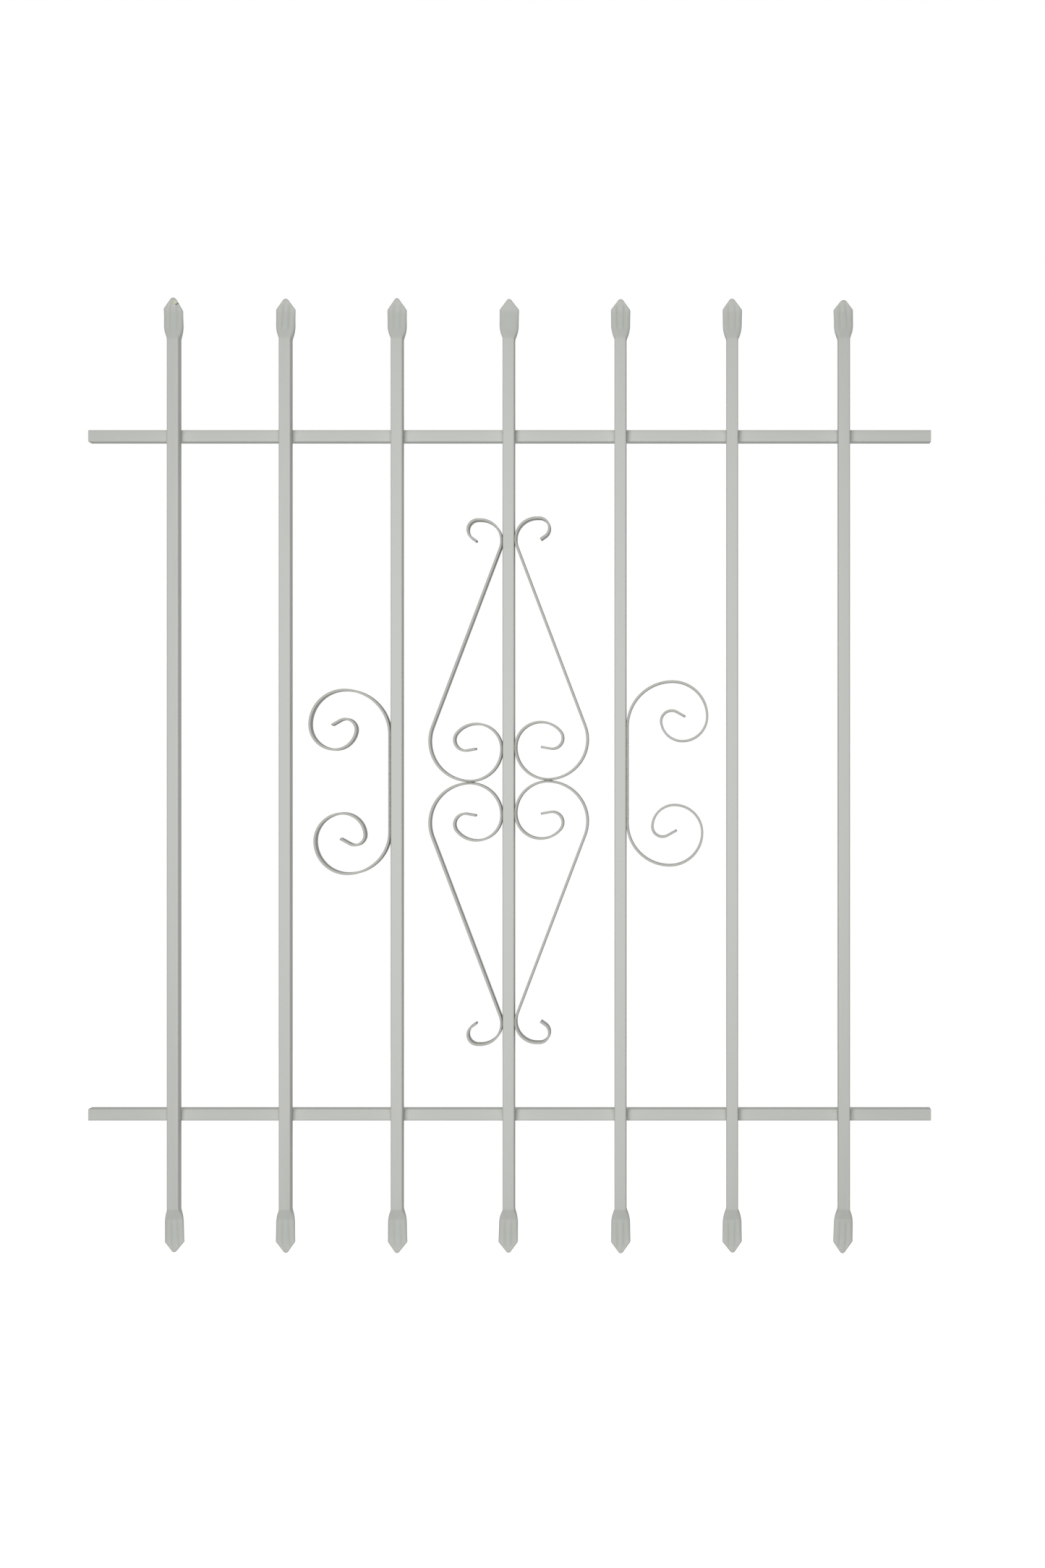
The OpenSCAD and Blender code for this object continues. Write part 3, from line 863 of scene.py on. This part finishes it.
def fillet(x, z, up, seed):
    """A rippled fillet in the corner between a bar's back and a rail, down into the rail's round corner."""
    rng = np.random.default_rng(seed)
    length = FILLET_LEN * rng.uniform(0.92, 1.0)
    x = x + rng.uniform(-1, 1) * FILLET_SHIFT
    leg_y = FILLET_LEG * rng.uniform(*FILLET_LEGS)
    leg_z = FILLET_LEG * rng.uniform(*FILLET_LEGS)
    pitch = rng.uniform(*RIPPLE_PITCH) * MM

    def section(size, s):
        points = []
        for a in np.linspace(0, math.pi / 2, FILLET_POINTS):
            hollow = 1 - FILLET_HOLLOW * math.sin(2 * a) ** 2
            late = s + RIPPLE_LAG * math.sin(2 * a)
            r = size * hollow * (1 - FILLET_RIPPLE + FILLET_RIPPLE * ripple(late, pitch, seed))
            points.append((leg_y * r * math.sin(a), leg_z * r * math.cos(a)))
        reach = min(TUBE_R, leg_y * size * KEEL_REACH)
        for a in np.linspace(math.pi / 2, KEEL_TURN, KEEL_POINTS):
            y = reach + TUBE_R * math.cos(a)
            drop = TUBE_R - TUBE_R * math.sin(a)
            points.append((max(y, 0), -drop * size))
        return points

    return [
        [(x + s, y, z + up * height) for y, height in points]
        for s, points in bead(section, length, seed)
    ]


def tack(x, z, along_x, seed):
    """A low rippled tack over the line where a strip lies against a bar or another strip."""
    rng = np.random.default_rng(seed)
    length = TACK_LEN * rng.uniform(0.9, 1.0)
    half_w, height = TACK_HALF_W * rng.uniform(0.88, 1), TACK_H * rng.uniform(0.88, 0.99)
    pitch = rng.uniform(*RIPPLE_PITCH) * MM

    def section(size, s):
        points = []
        for a in np.linspace(0, math.pi, TACK_POINTS):
            late = s - RIPPLE_LAG * math.sin(a)
            r = size * (1 - TACK_RIPPLE + TACK_RIPPLE * ripple(late, pitch, seed))
            points.append((half_w * r * math.cos(a), height * r * math.sin(a) ** TACK_CROWN))
        points += [(-half_w / 2 * size, 0), (0, -TACK_KEEL * size), (half_w / 2 * size, 0)]
        return points

    rings = []
    for s, points in bead(section, length, seed):
        if along_x:
            rings.append([(x + s, rise, z + across) for across, rise in points])
        else:
            rings.append([(x + across, rise, z + s) for across, rise in points])
    return rings


def welds(node, beads):
    """All the beads of one node, as one mesh of separate closed shells."""
    verts, faces = [], []
    for rings in beads:
        more_verts, more_faces = loft(rings, start=len(verts))
        verts += more_verts
        faces += more_faces
    made = add_mesh(f"{node}_beads", verts, faces, sharp=70)
    place_piece(made, node, "weld_paint")
    keep_value(made, "dust_and_shade", np.full(len(verts), WELD_DUST * SHADE_AND_DUST))


# ---- the pieces
SIDES = ((-1, "left"), (1, "right"))
for number in range(len(BARS)):
    bar(number)
for name in RAIL_Z:
    rail(name)
for side, word in SIDES:
    scroll(f"upper_{word}_scroll", s_path(), side, MIDDLE, S_PAIR_Z[side])
    scroll(f"lower_{word}_scroll", s_path(), side, MIDDLE, S_PAIR_Z[side], up=-1)
    scroll(f"{word}_c_scroll", c_path(), side, MIDDLE + side, C_LOW_Z[side])

# The last argument of each fillet or tack is the seed of its shape.
for n, (name, z) in enumerate(RAIL_Z.items()):
    welds(f"{name}_welds", [
        fillet(x, z + up * HALF_W, up, 100 * n + 10 * i + up + 1)
        for i, x in enumerate(BAR_X)
        for up in (-1, 1)
    ])
for up, word in ((1, "upper"), (-1, "lower")):
    welds(f"{word}_scroll_welds", [
        tack(BAR_X[MIDDLE] + side * HALF_W, S_PAIR_Z[side] + up * v, False, 300 + 10 * n + side + 4 * up)
        for side in (-1, 1)
        for n, v in enumerate((S_TURNS[0][0], S_HOOK_V))
    ])
welds("scroll_pair_welds", [
    tack(BAR_X[MIDDLE] + side * (HALF_W + S_TURNS[0][0]), S_PAIR_Z[side], True, 400 + side)
    for side in (-1, 1)
])
for side, word in SIDES:
    bar_side = BAR_X[MIDDLE + side] + side * HALF_W
    welds(f"{word}_c_scroll_welds", [
        tack(bar_side, C_LOW_Z[side] + part * C_STRAIGHT, False, 500 + 10 * n + side)
        for n, part in enumerate(C_TACKS)
    ])

# ---- floor
FLOOR_DROP = 0.5
FLOOR_SIDE = 9
FLOOR_WHITE = 0.5
FLOOR_GLOW = 0.8


def floor():
    """A plain white floor well below the panel, which glows enough to meet the backdrop without an edge."""
    mesh = bpy.data.meshes.new("floor")
    half = FLOOR_SIDE / 2
    z = CAD_BOX[0].z - FLOOR_DROP
    corners = [(-half, -half, z), (half, -half, z), (half, half, z), (-half, half, z)]
    mesh.from_pydata(corners, [], [(0, 1, 2, 3)])
    made = bpy.data.objects.new("floor", mesh)
    bpy.context.scene.collection.objects.link(made)
    material = bpy.data.materials.new("floor_white")
    material.use_nodes = True
    shader = material.node_tree.nodes["Principled BSDF"]
    shader.inputs["Base Color"].default_value = (FLOOR_WHITE, FLOOR_WHITE, FLOOR_WHITE, 1)
    shader.inputs["Roughness"].default_value = 0.9
    shader.inputs["Specular IOR Level"].default_value = 0.1
    shader.inputs["Emission Color"].default_value = (1, 1, 1, 1)
    shader.inputs["Emission Strength"].default_value = FLOOR_GLOW
    material.cycles.emission_sampling = "NONE"
    mesh.materials.append(material)
    made.visible_diffuse = False
    made.visible_glossy = False


floor()

# ---- light: a white surround, bright behind the panel, and one large soft box in front of it
SURROUND_BACK = 1.13
SURROUND_FRONT = 0.06
SURROUND_BLEND = 0.3
SURROUND_GLOSS = 0.5
KEY_PLACE = (-0.16, -2.6, 0.04)
KEY_SIZE = 2.2
KEY_POWER = 65


def surround():
    """White to the camera; as light, it grows towards the back (+Y), and reflects less than it lights."""
    world = bpy.data.worlds.new("studio")
    bpy.context.scene.world = world
    world.use_nodes = True
    tree = world.node_tree
    link = tree.links.new
    way = add_node(tree, "ShaderNodeTexCoord", (-900, 0))
    axes = add_node(tree, "ShaderNodeSeparateXYZ", (-700, 0))
    reach = (-SURROUND_BLEND, SURROUND_BLEND)
    depth = add_range(tree, (-500, 100), reach, (SURROUND_FRONT, SURROUND_BACK))
    rays = add_node(tree, "ShaderNodeLightPath", (-700, 350))
    dim = add_node(tree, "ShaderNodeMath", (-500, -200), operation="MULTIPLY_ADD")
    dim.inputs[1].default_value = SURROUND_GLOSS - 1
    dim.inputs[2].default_value = 1
    total = add_node(tree, "ShaderNodeMath", (-300, 0), operation="MULTIPLY")
    light = add_node(tree, "ShaderNodeBackground", (-100, 0))
    backdrop = add_node(tree, "ShaderNodeBackground", (-100, -150), Color=(1, 1, 1, 1))
    choose = add_node(tree, "ShaderNodeMixShader", (100, 0))
    link(way.outputs["Generated"], axes.inputs["Vector"])
    link(axes.outputs["Y"], depth.inputs["Value"])
    link(rays.outputs["Is Glossy Ray"], dim.inputs[0])
    link(dim.outputs["Value"], total.inputs[0])
    link(depth.outputs["Result"], total.inputs[1])
    link(total.outputs["Value"], light.inputs["Strength"])
    link(rays.outputs["Is Camera Ray"], choose.inputs["Fac"])
    link(light.outputs["Background"], choose.inputs[1])
    link(backdrop.outputs["Background"], choose.inputs[2])
    link(choose.outputs["Shader"], tree.nodes["World Output"].inputs["Surface"])


def soft_box(name, place, size, power):
    """A round soft box aimed at the middle of the panel."""
    data = bpy.data.lights.new(name, "AREA")
    data.shape = "DISK"
    data.size = size
    data.energy = power
    made = bpy.data.objects.new(name, data)
    made.location = place
    made.rotation_mode = "QUATERNION"
    made.rotation_quaternion = (-Vector(place)).to_track_quat("-Z", "Y")
    bpy.context.scene.collection.objects.link(made)


surround()
soft_box("key_light", KEY_PLACE, KEY_SIZE, KEY_POWER)

# ---- camera: right of the panel's middle, with its lens shifted back to the panel
CAMERA_X = 0.2011
CAMERA_DISTANCE = 1.858
LENS = 39.6
SENSOR_W = 36
SHIFT_X = -0.11
SHIFT_Y = -0.0055

scene = bpy.context.scene
camera_data = bpy.data.cameras.new("camera")
camera_data.lens = LENS
camera_data.sensor_width = SENSOR_W
camera_data.shift_x = SHIFT_X
camera_data.shift_y = SHIFT_Y
camera = bpy.data.objects.new("camera", camera_data)
camera.location = (CAMERA_X, BAR_FRONT - CAMERA_DISTANCE, 0)
camera.rotation_euler = (math.pi / 2, 0, 0)
scene.collection.objects.link(camera)
scene.camera = camera
scene.view_settings.view_transform = "Standard"
scene.view_settings.look = "None"
